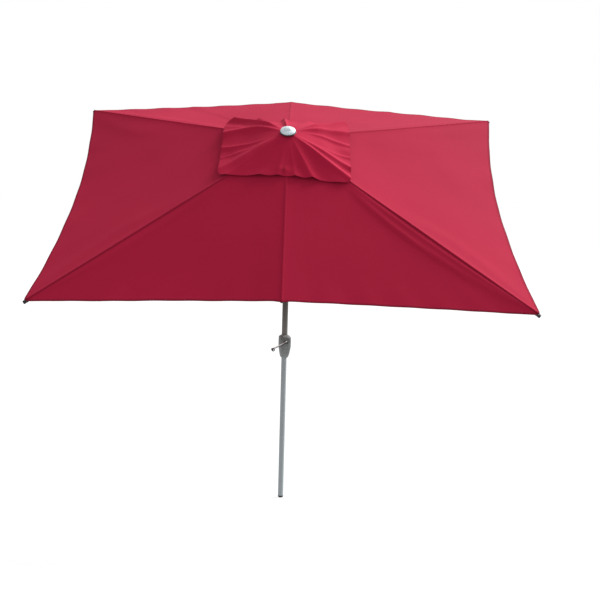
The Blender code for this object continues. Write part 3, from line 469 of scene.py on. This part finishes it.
# Waves of loose cloth: radians a metre along x and along y, phase and height.
RIPPLES = (
    (7.0, 2.2, 0.3, 0.0011), (3.1, 9.5, 1.9, 0.0010), (11.5, -6.0, 4.1, 0.0006),
    (-8.0, 12.5, 2.6, 0.0005), (17.0, 9.0, 0.9, 0.0003), (5.0, -19.0, 5.2, 0.0003),
)


def ripples(x, y):
    """Small loose waves of hand-cut cloth, in metres."""
    total = np.zeros_like(x)
    for kx, ky, phase, height in RIPPLES:
        total += height * np.sin(kx * x + ky * y + phase + 0.6 * np.sin(1.7 * x - 2.3 * y + phase))
    return total


class Panel:
    """The cloth between two ribs. Rows run from the peak to the hem, and columns from the first rib to the
    second. It is parted at the share split, where the two ribs' shares meet when the canopy is folded."""

    # Columns by a rib, as distances from it, and how many follow them out to the share's edge.
    NEAR = (0.0, 0.003, 0.006, 0.0072, 0.0095, 0.0125, 0.0170, 0.0240, 0.0340, 0.0480, 0.0660)
    FAR = 22
    ROWS = 66
    HEM = (0.0215, 0.0205, 0.0190, 0.0175, 0.0025, 0.0008, 0.0)  # rows by the hem, as distances from it
    INNER = 0.098  # how far from the pole the cloth starts
    PARTING = len(NEAR) + FAR - 1  # the column where the two ribs' shares meet
    # Where the painted shade beside a seam lies, and its width.
    CREASE_AT, CREASE_WIDTH = 0.0125, 0.0050
    # How far the hem reaches past a rib's tip, and over what width. The corners' end caps stay bare.
    PAST_MIDDLE_TIP, PAST_CORNER_TIP = (0.008, 0.030), (-0.009, 0.016)

    def __init__(self, first, second, split, sag, hem_cut, keeps, folds=()):
        self.a, self.b = rib_tip(*first) - PEAK, rib_tip(*second) - PEAK
        self.ribs, self.split, self.keeps = (first, second), split, keeps
        self.sag, self.hem_cut, self.folds = sag, hem_cut, folds
        self.width = np.linalg.norm(self.b - self.a)
        self.length = np.linalg.norm((self.a + self.b) / 2)
        normal = np.cross(self.a, self.b)
        self.normal = normal / np.linalg.norm(normal)
        facing = (self.a + self.b)[1]
        self.front = facing < -0.5
        # How far in from the hem painted shade darkens the hem's edge: wider on the back gores.
        self.hem_shade_width = 0.011 if facing > 0.5 else 0.0042
        self.valleys = [0.0012 if name == "back_middle" else 0.0040 for name, _ in self.ribs]

    def crease_shade_strength(self, name):
        if "back" in name:
            return 0.0
        return 0.12 if "middle" in name else 0.66 * self.front

    def painted_crease_shade(self, from_a, from_b, s):
        """Painted shade of a fold beside a seam: darkest on the front gores, along the corner ribs."""
        depths = [self.crease_shade_strength(name) for name, _ in self.ribs]
        band = np.exp(-(((np.minimum(from_a, from_b) - self.CREASE_AT) / self.CREASE_WIDTH) ** 2))
        return np.where(from_a < from_b, *depths) * band * smoothstep(0.10, 0.30, s)

    def spread(self, s, share):
        """Distances from a rib, closer together beside it, out to its share of the panel's width."""
        end = self.width * s * share
        near = np.array(self.NEAR)[None, :] * np.minimum(1.0, end / 0.14)
        out = np.linspace(0, 1, self.FAR)[None, 1:] ** 0.9
        return np.concatenate([near, near[:, -1:] + (end - near[:, -1:]) * out], axis=1)

    def surface(self):
        """The cloth's points, with each one's distance from a rib and from the hem, its share of the way from
        peak to hem, and how dark the painted shade beside a seam is there."""
        reach = np.linalg.norm(((self.a + self.b) / 2)[:2])
        ends = [1 - h / self.length for h in self.HEM]
        s = np.concatenate([np.linspace(self.INNER / reach, ends[0], self.ROWS)[:-1], ends])[:, None]
        t_a = self.spread(s, self.split) / (self.width * s)
        t_b = 1 - self.spread(s, 1 - self.split)[:, -2::-1] / (self.width * s)
        t = np.concatenate([t_a, t_b], axis=1)
        s = s * np.ones_like(t)
        bow = 4 * t * (1 - t)
        along = s * (1 - (self.hem_cut / self.length) * bow * s)
        from_a, from_b = t * self.width * s, (1 - t) * self.width * s
        at_hem = smoothstep(0.9, 1.0, s)
        for (name, _), away in zip(self.ribs, (from_a, from_b)):
            past, spread = self.PAST_MIDDLE_TIP if name.endswith("middle") else self.PAST_CORNER_TIP
            along = along + at_hem * past / self.length * np.exp(-((away / spread) ** 2))
        points = PEAK + along[..., None] * ((1 - t)[..., None] * self.a + t[..., None] * self.b)
        from_rib, from_hem = np.minimum(from_a, from_b), (1 - s) * self.length
        lift = -self.sag * bow * s * (0.35 + 0.65 * s)
        valley = np.where(from_a < from_b, *self.valleys)
        lift -= valley * (1 - np.exp(-from_rib / 0.013)) * smoothstep(0.0, 0.12, s)
        loose = smoothstep(0.02, 0.16, from_rib)
        lift += ripples(points[..., 0], points[..., 1]) * loose
        lift += 0.0016 * np.sin(t * math.pi * 13) * np.exp(-from_hem / 0.10) * loose
        for side, distance, width, height, low, high in self.folds:
            away = from_a if side == "a" else from_b
            ahead = np.sin(math.pi * np.clip((s - low) / (high - low), 0, 1)) ** 0.8
            lift += height * ahead * np.exp(-(((away - distance * ahead) / width) ** 2))
        return points + lift[..., None] * self.normal, from_rib, from_hem, s, self.painted_crease_shade(from_a, from_b, s)


# split is the first rib's share of the cloth, hem_cut how hollow the hem is, and keeps how much of each share's
# width is left when it is folded. A fold is the rib it lies beside, its distance from it, its width and height,
# and where it starts and ends between peak and hem.
SIDE = dict(split=0.5, sag=0.040, hem_cut=0.070, keeps=(0.24, 0.24))
TO_MIDDLE = dict(split=0.63, hem_cut=0.012, keeps=(0.30, 0.22))
FROM_MIDDLE = dict(split=0.37, hem_cut=0.012, keeps=(0.22, 0.30))
FRONT_SAG, BACK_SAG = 0.016, 0.004
PANELS = [
    Panel(RIBS[0], RIBS[1], **TO_MIDDLE, sag=BACK_SAG, folds=[("a", 0.10, 0.035, 0.004, 0.25, 1.02)]),
    Panel(RIBS[1], RIBS[2], **FROM_MIDDLE, sag=BACK_SAG, folds=[("b", 0.09, 0.035, 0.003, 0.25, 1.02)]),
    Panel(
        RIBS[2], RIBS[3], **SIDE,
        folds=[("b", 0.14, 0.050, 0.004, 0.40, 1.03), ("a", 0.16, 0.06, 0.004, 0.5, 1.02)],
    ),
    Panel(RIBS[3], RIBS[4], **TO_MIDDLE, sag=FRONT_SAG, folds=[("a", 0.080, 0.030, 0.005, 0.22, 1.02)]),
    Panel(
        RIBS[4], RIBS[5], **FROM_MIDDLE, sag=FRONT_SAG,
        folds=[("b", 0.055, 0.016, 0.007, 0.20, 1.02), ("b", 0.130, 0.030, 0.008, 0.22, 1.01)],
    ),
    Panel(
        RIBS[5], RIBS[0], **SIDE,
        folds=[("a", 0.13, 0.050, 0.004, 0.45, 1.02), ("b", 0.10, 0.040, 0.003, 0.5, 1.02)],
    ),
]

WELT_HALF, WELT_RISE = 0.0072, 0.0007
HEM_WIDTH, HEM_RISE = 0.0190, 0.0008
WELT_STITCH, HEM_STITCH = 0.0048, 0.0160  # rows of stitches, from the seam and from the hem's edge


def build_canopy():
    """One cloth, made whole, and parted along each rib and once in each panel: each rib carries its share."""
    surfaces = [panel.surface() for panel in PANELS]
    normals = [upward(grid_normals(to_world(surface[0]))) for surface in surfaces]
    for i in range(len(PANELS)):
        seam = normals[i - 1][:, -1] + normals[i][:, 0]
        seam /= np.linalg.norm(seam, axis=1, keepdims=True)
        normals[i - 1][:, -1] = normals[i][:, 0] = seam
    for panel, (points, from_rib, from_hem, s, painted_crease_shade), normal in zip(PANELS, surfaces, normals):
        welt = WELT_RISE * (from_rib < WELT_HALF - 0.0005) * smoothstep(0.02, 0.08, s)
        hem = HEM_RISE * ((from_hem < HEM_WIDTH - 0.0002) & (from_hem > 0.0005))
        rise = np.maximum(welt, hem)[..., None]
        centre = to_world(points)
        upper = centre + normal * (rise + CLOTH / 2)
        lower = centre - normal * (rise * 0.6 + CLOTH / 2)
        shading = upward(grid_normals(upper))
        shading[:, 0], shading[:, -1] = normal[:, 0], normal[:, -1]
        stitch_hem, stitch_rib = from_hem - HEM_STITCH, from_rib - WELT_STITCH
        by_hem = np.abs(stitch_hem) < np.abs(stitch_rib)
        reach = np.linalg.norm(points - PEAK, axis=2)
        attributes = {
            "stitch_row": np.where(by_hem, stitch_hem, stitch_rib),
            "stitch_along": np.where(by_hem, from_rib, reach),
            # Painted shade: a dark band along the hem's edge, and beside the seams where the cloth folds.
            "hem_shade": np.maximum(0.8 * (from_hem < panel.hem_shade_width), painted_crease_shade),
        }
        for k, ((name, azimuth), keep) in enumerate(zip(panel.ribs, panel.keeps)):
            cut = slice(panel.PARTING, None) if k else slice(None, panel.PARTING + 1)
            share = {key: values[:, cut] for key, values in attributes.items()}
            piece = sheet_mesh(
                f"cloth_{name}_{'after' if k == 0 else 'before'}",
                upper[:, cut], lower[:, cut], shading[:, cut], share, MATERIALS["canopy_red"],
            )
            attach(piece, f"rib_{name}")
            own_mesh(piece)
            if k == 0:
                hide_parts(f"canopy_{name}")


# ---- yokes: the doubled cloth of the canopy's middle ----
YOKE_START, YOKE_END_AT_MIDDLE, YOKE_END_AT_CORNER = 0.031, 0.235, 0.385
YOKE_ROWS, YOKE_COLUMNS, YOKE_LAP = 64, 34, 0.006
# Distances from the pole's axis when open, and of the same places when they are folded down beside the pole.
FOLDED_REACH = ((0.030, 0.034, 0.050, 0.0675, 0.100, 0.450), (0.034, 0.036, 0.060, 0.074, 0.064, 0.102))
# How far a patch lies under the canopy on its rib, how much more beside it, and the extra on every second rib,
# which keeps neighbours apart.
YOKE_DROP, YOKE_SINK, YOKE_STAGGER = 0.0021, 0.0085, 0.0025
YOKE_HALF_CLOTH = 0.0005


def half_angles(i):
    """Half the angle from a rib to the one before it and to the one after it."""
    here, before, after = RIBS[i][1], RIBS[i - 1][1], RIBS[(i + 1) % len(RIBS)][1]
    return math.radians((here - before) % 360) / 2, math.radians((after - here) % 360) / 2


def build_yokes():
    """A patch of cloth over each rib, under the vent cap, its width set by where its rows lie when folded
    beside the pole."""
    for i, (name, azimuth) in enumerate(RIBS):
        ahead, aside = rib_frame(azimuth)
        before, after = half_angles(i)
        end = YOKE_END_AT_MIDDLE if name.endswith("middle") else YOKE_END_AT_CORNER
        r = np.linspace(YOKE_START, end, YOKE_ROWS)[:, None]
        ring = np.interp(r, *FOLDED_REACH)
        low, high = -(math.tan(before) * ring + YOKE_LAP), math.tan(after) * ring + YOKE_LAP
        share = np.linspace(0, 1, YOKE_COLUMNS + 1)[None, :]
        u = low + (high - low) * share
        level = r[..., None] * ahead + u[..., None] * aside
        drop = YOKE_DROP + (YOKE_SINK + YOKE_STAGGER * (i % 2)) * smoothstep(0.009, 0.045, np.abs(u))
        height = canopy_height(level[..., 0], level[..., 1]) - drop
        points = level + height[..., None] * np.array((0, 0, 1))
        centre = to_world(points)
        normals = upward(grid_normals(centre))
        upper, lower = centre + normals * YOKE_HALF_CLOTH, centre - normals * YOKE_HALF_CLOTH
        edge = np.minimum(u - low, high - u)
        attributes = {"stitch_row": edge - YOKE_LAP, "stitch_along": r + 0 * u}
        piece = sheet_mesh(f"yoke_{name}", upper, lower, normals, attributes, MATERIALS["canopy_red"])
        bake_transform(piece)


# ---- vent cap ----
# The cap's four edges: which way each faces, and how far it is from the pole's axis.
CAP_EDGES = ((1.0, 0.0, 0.366), (0.0, 1.0, 0.345), (-1.0, 0.0, 0.392), (-0.053, -0.9986, 0.2574))
CAP_ROUNDING = 18.0  # higher is a sharper corner
CAP_COUNT = 60  # columns in one rib's share
CAP_INNER, CAP_JOIN = 0.030, 0.125  # where the crown starts, and where it meets the skirt
CAP_GAP, CAP_RISE, CAP_BACK_RISE, CAP_LEAST_GAP = 0.009, 0.034, 0.016, 0.005  # heights over the canopy
CAP_HEM, CAP_HEM_RISE, CAP_STITCH = 0.0065, 0.0007, 0.0052
TUCK_SHADE_X, TUCK_SHADE_Y = -0.016, -0.222  # a small tuck near the front hem, darkened with painted shade
LINING_START, LINING_PAST_JOIN, LINING_LAP = 0.002, 0.035, math.radians(13.0)
LINING_SINK, LINING_STAGGER = 0.0035, 0.0016  # under the crown, and the extra on every second rib
# The cap's cloth is a lighter copy of the canopy's: painted light.
CAP_CLOTH = canopy_cloth("vent_cap_polyester", painted_light_factor=1.10)


def canopy_height(x, y):
    """Height of the canopy's flat panels over a point, which the vent cap lies on."""
    height = np.full_like(x, 1e9)
    for panel in PANELS:
        n = panel.normal if panel.normal[2] > 0 else -panel.normal
        height = np.minimum(height, PEAK[2] - (n[0] * x + n[1] * y) / n[2])
    return height


def cap_outline(angle):
    """Distance from the middle to the cap's hem: four nearly straight edges with rounded corners."""
    total = 0.0
    for out_x, out_y, distance in CAP_EDGES:
        facing = out_x * math.cos(angle) + out_y * math.sin(angle)
        if facing > 0:
            total += (facing / distance) ** CAP_ROUNDING
    return total ** (-1 / CAP_ROUNDING)


# Ridges of loose cloth that run out from the finial: angle in degrees, height, width, start and bend.
CAP_FOLDS = [
    (-21.5, 0.019, 0.024, 0.05, 0.00), (-34.0, 0.015, 0.020, 0.06, 0.00),
    (-61.0, 0.016, 0.024, 0.06, 0.00), (-79.0, 0.006, 0.018, 0.07, 0.00),
    (-101.0, 0.006, 0.020, 0.07, 0.00), (-122.0, 0.004, 0.030, 0.10, 0.00),
    (205.0, 0.014, 0.036, 0.05, 0.00), (188.0, 0.008, 0.014, 0.16, 0.03),
    (174.0, 0.010, 0.015, 0.12, 0.03), (156.0, 0.014, 0.020, 0.05, -0.045),
    (134.0, 0.036, 0.030, 0.07, -0.02), (118.0, 0.022, 0.020, 0.08, 0.00),
    (95.0, 0.016, 0.012, 0.05, 0.00), (70.0, 0.006, 0.024, 0.08, 0.00),
    (46.0, 0.026, 0.030, 0.08, 0.00), (29.0, 0.012, 0.020, 0.05, 0.02),
    (12.0, 0.009, 0.014, 0.10, 0.03), (-6.0, 0.006, 0.011, 0.18, -0.02),
]


def cap_surface(angles, reach):
    """Points of the cap over a fan of angles, and their distances from its hem. reach is the distance from
    the middle, for each row and angle."""
    rim = np.array([cap_outline(a) for a in angles])
    x, y = reach * np.cos(angles)[None, :], reach * np.sin(angles)[None, :]
    share = reach / rim[None, :]
    base = canopy_height(x, y)
    lift = CAP_RISE * (1 - smoothstep(0.02, 0.92, share)) + CAP_GAP
    lift = lift + CAP_BACK_RISE * smoothstep(0.04, 0.24, y)
    for angle_deg, height, width, begin, bend in CAP_FOLDS:
        angle = math.radians(angle_deg)
        ahead = x * math.cos(angle) + y * math.sin(angle)
        aside = -x * math.sin(angle) + y * math.cos(angle) - bend * np.sin(math.pi * np.clip(share, 0, 1))
        rising = smoothstep(begin * 0.6, begin + 0.16, ahead)
        spread = width * (0.45 + 0.55 * smoothstep(0.0, 0.30, ahead))
        lift = lift + height * rising * np.exp(-np.abs(aside / spread) ** 1.6)
    droop = 0.006 * smoothstep(0.30, 0.38, x) * smoothstep(-0.10, -0.26, y)
    hem_wave = 0.0035 * np.sin(9.0 * np.arctan2(y, x) + 1.0) + 0.0025 * np.sin(17.0 * np.arctan2(y, x))
    lift = lift + (hem_wave - droop) * smoothstep(0.7, 1.0, share)
    lift = lift + 0.0015 * np.sin(38 * x + 11 * y) * smoothstep(0.2, 0.6, share)
    bump = np.exp(-(((x + 0.012) / 0.030) ** 2)) * np.exp(-(((y + 0.225) / 0.022) ** 2))
    lift = np.maximum(lift + 0.012 * bump, CAP_LEAST_GAP)
    return np.stack([x, y, base + lift], axis=2), rim[None, :] - reach


def cap_piece(name, angles, reach_of, sink=0.0):
    """One share of the cap's cloth. reach_of gives the rows' distances from the middle for each angle, and sink
    how far it lies under the cap's surface."""
    margin = 1e-3
    wide = np.concatenate([[angles[0] - margin], angles, [angles[-1] + margin]])
    around, from_hem = cap_surface(wide, reach_of(wide))
    normals = upward(grid_normals(to_world(around)))[:, 1:-1]
    points, from_hem = around[:, 1:-1], from_hem[:, 1:-1]
    centre = to_world(points) - sink * normals
    hem = (CAP_HEM_RISE * ((from_hem < CAP_HEM) & (from_hem > 0.0003)))[..., None]
    upper, lower = centre + normals * (hem + CLOTH / 2), centre - normals * (hem + CLOTH / 2)
    along = np.linalg.norm(points - PEAK, axis=2) * angles[None, :]
    # Painted shade on the tuck near the front hem.
    tuck_painted_shade = np.exp(-(((points[..., 0] - TUCK_SHADE_X) / 0.007) ** 2) - ((points[..., 1] - TUCK_SHADE_Y) / 0.022) ** 2)
    attributes = {"stitch_row": from_hem - CAP_STITCH, "stitch_along": along, "hem_shade": 0.6 * tuck_painted_shade}
    piece = sheet_mesh(name, upper, lower, normals, attributes, CAP_CLOTH)
    return piece, points


def rings(start, end, rows):
    """Rows at the same distances from the middle at every angle."""
    return lambda fan: np.linspace(start, end, rows)[:, None] + 0 * fan[None, :]


def skirt_reach(fan):
    """Rows from the crown's edge out to the cap's hem."""
    rim = np.array([cap_outline(a) for a in fan])[None, :]
    rows = np.concatenate([np.linspace(0, 1, 44)[:-1] ** 0.95 * 0.955, [0.970, 0.977, 0.9795, 0.999, 1.0]])
    return CAP_JOIN + (rim - CAP_JOIN) * rows[:, None]


def build_vent_cap():
    """The loose second roof: a lined crown and a skirt, cut in a share for each rib; each rib carries its
    share of the skirt."""
    for i, (name, azimuth) in enumerate(RIBS):
        before, after = half_angles(i)
        middle = math.radians(azimuth)
        angles = np.linspace(middle - before, middle + after, CAP_COUNT + 1)
        crown, points = cap_piece(f"cap_crown_{name}", angles, rings(CAP_INNER, CAP_JOIN, 26))
        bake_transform(crown)
        lapped = np.linspace(middle - before - LINING_LAP, middle + after + LINING_LAP, CAP_COUNT + 1)
        lining_reach = rings(CAP_INNER + LINING_START, CAP_JOIN + LINING_PAST_JOIN, 30)
        sink = LINING_SINK + LINING_STAGGER * (i % 2)
        lining, points = cap_piece(f"cap_lining_{name}", lapped, lining_reach, sink)
        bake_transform(lining)
        skirt, points = cap_piece(f"cap_skirt_{name}", angles, skirt_reach)
        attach(skirt, f"rib_{name}")
        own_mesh(skirt)
        if i == 0:
            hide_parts("vent_cap")


# ---- lift cord ----
# The open run's distance from the tilting pole's axis, its two ends' distances from the tilt joint, and the
# cord's radius.
CORD_RUN, CORD_TOP, CORD_FOOT, CORD_RADIUS = 0.0228, 0.8107, 0.5943, 0.0015


def tube(name, start, end, radius, sides=14, rings=90):
    """A straight cord with enough rings to bend or stretch."""
    start, end = Vector(start), Vector(end)
    along = (end - start).normalized()
    across = along.orthogonal().normalized()
    other = along.cross(across)
    vertices, faces = [], []
    for k in range(rings + 1):
        at = start.lerp(end, k / rings)
        for j in range(sides):
            angle = 2 * math.pi * j / sides
            vertices.append(at + radius * (math.cos(angle) * across + math.sin(angle) * other))
    for k in range(rings):
        for j in range(sides):
            a, b = k * sides + j, k * sides + (j + 1) % sides
            faces.append((a, b, b + sides, a + sides))
    faces.append(tuple(range(sides))[::-1])
    faces.append(tuple(rings * sides + j for j in range(sides)))
    mesh = bpy.data.meshes.new(name)
    mesh.from_pydata(vertices, [], faces)
    mesh.shade_smooth()
    return put_in_scene(name, mesh)


def build_lift_cord():
    """The open run of the lift cord: a straight tube from its top end to its foot."""
    top, foot = TOP @ Vector((CORD_RUN, 0, CORD_TOP)), TOP @ Vector((CORD_RUN, 0, CORD_FOOT))
    cord = tube("lift_cord_run", top, foot, CORD_RADIUS)
    cord.data.materials.append(MATERIALS["cord_nylon"])
    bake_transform(cord)
    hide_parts("lift_cord_fall")


build_canopy()
build_yokes()
build_vent_cap()
build_lift_cord()


# ---- studio ----
def build_studio():
    """A pale floor that gives off a little light of its own, an even sky, and one large soft sun."""
    floor_mesh = bpy.data.meshes.new("floor")
    size = 60.0
    corners = [(-size, -size, 0), (size, -size, 0), (size, size, 0), (-size, size, 0)]
    floor_mesh.from_pydata(corners, [], [(0, 1, 2, 3)])
    floor = put_in_scene("floor", floor_mesh)
    pale = Nodes("studio_floor")
    pale.set(Base_Color=(0.10, 0.10, 0.10, 1.0), Roughness=0.9, Specular_IOR_Level=0.0)
    pale.set(Emission_Color=(1.0, 1.0, 1.0, 1.0), Emission_Strength=0.84)
    floor_mesh.materials.append(pale.material)
    world = bpy.data.worlds.new("studio")
    bpy.context.scene.world = world
    world.use_nodes = True
    sky = world.node_tree.nodes["Background"]
    sky.inputs["Color"].default_value = (1.0, 1.0, 1.0, 1.0)
    sky.inputs["Strength"].default_value = 1.0
    lamp = bpy.data.lights.new("key", "SUN")
    lamp.energy, lamp.angle, lamp.color = 8.0, math.radians(40.0), (1.0, 0.99, 0.985)
    key = put_in_scene("key", lamp)
    key.rotation_mode = "QUATERNION"
    key.rotation_quaternion = Vector((0.60, 0.355, 0.69)).to_track_quat("Z", "Y")


def build_camera():
    """The camera, in front of the umbrella, looking slightly down at the target, and rolled a little."""
    focal, sensor_width = 50.74, 36.0
    target, distance = Vector((0.095, 0.0, 1.327)), 5.543
    elevation, azimuth, roll = math.radians(5.307), math.radians(-0.009), math.radians(1.551)
    level = math.cos(elevation)
    back = Vector((math.sin(azimuth) * level, -math.cos(azimuth) * level, math.sin(elevation)))
    right = Vector((math.cos(azimuth), math.sin(azimuth), 0))
    up = back.cross(right)
    turned_right = right * math.cos(roll) + up * math.sin(roll)
    turned_up = up * math.cos(roll) - right * math.sin(roll)
    lens = bpy.data.cameras.new("camera")
    lens.lens, lens.sensor_width = focal, sensor_width
    lens.clip_start, lens.clip_end = 0.05, 200.0
    camera = put_in_scene("camera", lens)
    turn = Matrix((turned_right, turned_up, back)).transposed()
    camera.rotation_mode = "QUATERNION"
    camera.rotation_quaternion = turn.to_quaternion()
    camera.location = target + back * distance
    bpy.context.scene.camera = camera


bpy.context.scene.view_settings.view_transform = "Standard"
build_studio()
build_camera()
